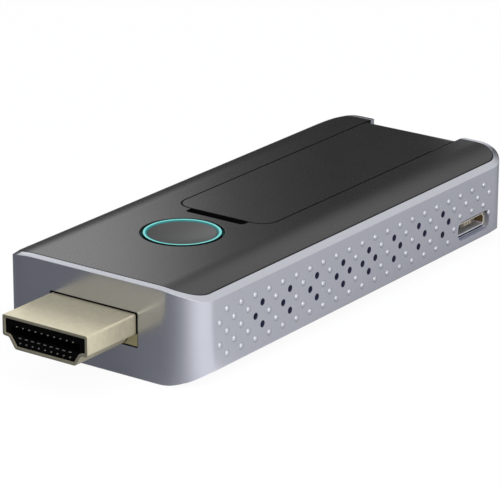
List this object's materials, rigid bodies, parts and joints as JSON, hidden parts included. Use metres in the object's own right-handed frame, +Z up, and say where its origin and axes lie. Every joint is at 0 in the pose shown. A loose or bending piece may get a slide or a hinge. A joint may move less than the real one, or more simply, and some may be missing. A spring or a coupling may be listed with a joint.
{
  "type": "wireless video transmitter",
  "caption": "Flat plug-in wireless video transmitter with a silver frame, charcoal covers, a flip-up antenna flap, a round button with a light ring, and a power inlet in one side.",
  "frame": {"origin": "on the surface it rests on, under the middle of the whole length with the plug", "axes": "+X to the right, +Y from the plug to the rear, +Z up"},
  "size_m": [0.0324, 0.087, 0.0133],
  "materials": {
    "frame": "satin silver",
    "cover": "satin charcoal",
    "flap": "satin charcoal",
    "plug_shell": "pale gold plating",
    "contacts": "gold plating",
    "black_plastic": "moulded black",
    "inlet_shell": "drawn steel",
    "screws": "machined steel",
    "hinge_pins": "turned steel",
    "light_ring": "translucent turquoise",
    "button_cap": "satin grey",
    "circuit_boards": "green solder mask",
    "chips": "moulded package",
    "metal_parts": "tinned steel",
    "thermal_pad": "soft grey",
    "ring_leds": "clear white",
    "leads": "thin sleeve"
  },
  "bodies": {
    "base": {"housing": "frame", "top_cover": "cover", "bottom_cover": "cover", "hdmi_shell": "plug_shell", "hdmi_collar": "plug_shell", "hdmi_contact_01": "contacts", "hdmi_contact_02": "contacts", "hdmi_contact_03": "contacts", "hdmi_contact_04": "contacts", "hdmi_contact_05": "contacts", "hdmi_contact_06": "contacts", "hdmi_contact_07": "contacts", "hdmi_contact_08": "contacts", "hdmi_contact_09": "contacts", "hdmi_contact_10": "contacts", "hdmi_contact_11": "contacts", "hdmi_contact_12": "contacts", "hdmi_contact_13": "contacts", "hdmi_contact_14": "contacts", "hdmi_contact_15": "contacts", "hdmi_contact_16": "contacts", "hdmi_contact_17": "contacts", "hdmi_contact_18": "contacts", "hdmi_contact_19": "contacts", "usb_contact_1": "contacts", "usb_contact_2": "contacts", "usb_contact_3": "contacts", "usb_contact_4": "contacts", "usb_contact_5": "contacts", "hdmi_insulator": "black_plastic", "usb_tongue": "black_plastic", "usb_shell": "inlet_shell", "cover_screw_1": "screws", "cover_screw_2": "screws", "cover_screw_3": "screws", "cover_screw_4": "screws", "hinge_pin_left": "hinge_pins", "hinge_pin_right": "hinge_pins", "main_board": "circuit_boards", "video_chip": "chips", "radio_chip": "chips", "memory_chip": "chips", "inductor": "chips", "shield_can": "metal_parts", "heat_spreader": "metal_parts", "crystal": "metal_parts", "switch_base": "metal_parts", "antenna_connector": "metal_parts", "thermal_pad": "thermal_pad", "ring_led_1": "ring_leds", "ring_led_2": "ring_leds", "antenna_lead": "leads"},
    "antenna": {"antenna_flap": "flap", "flap_liner": "black_plastic", "antenna_board": "circuit_boards", "antenna_lead_flap": "leads"},
    "button": {"button_cap": "button_cap", "button_ring": "light_ring", "switch_plunger": "black_plastic"}
  },
  "joints": [
    {"name": "antenna_hinge", "type": "hinge", "parent": "base", "child": "antenna", "pos_m": [0, 0.0403, 0.01], "axis": [-1, 0, 0], "range_deg": [0, 90]},
    {"name": "button_press", "type": "slide", "parent": "base", "child": "button", "axis": [0, 0, -1], "range_m": [0, 0.0003], "stiffness_N_per_m": 3000, "springref_m": -0.0002}
  ]
}
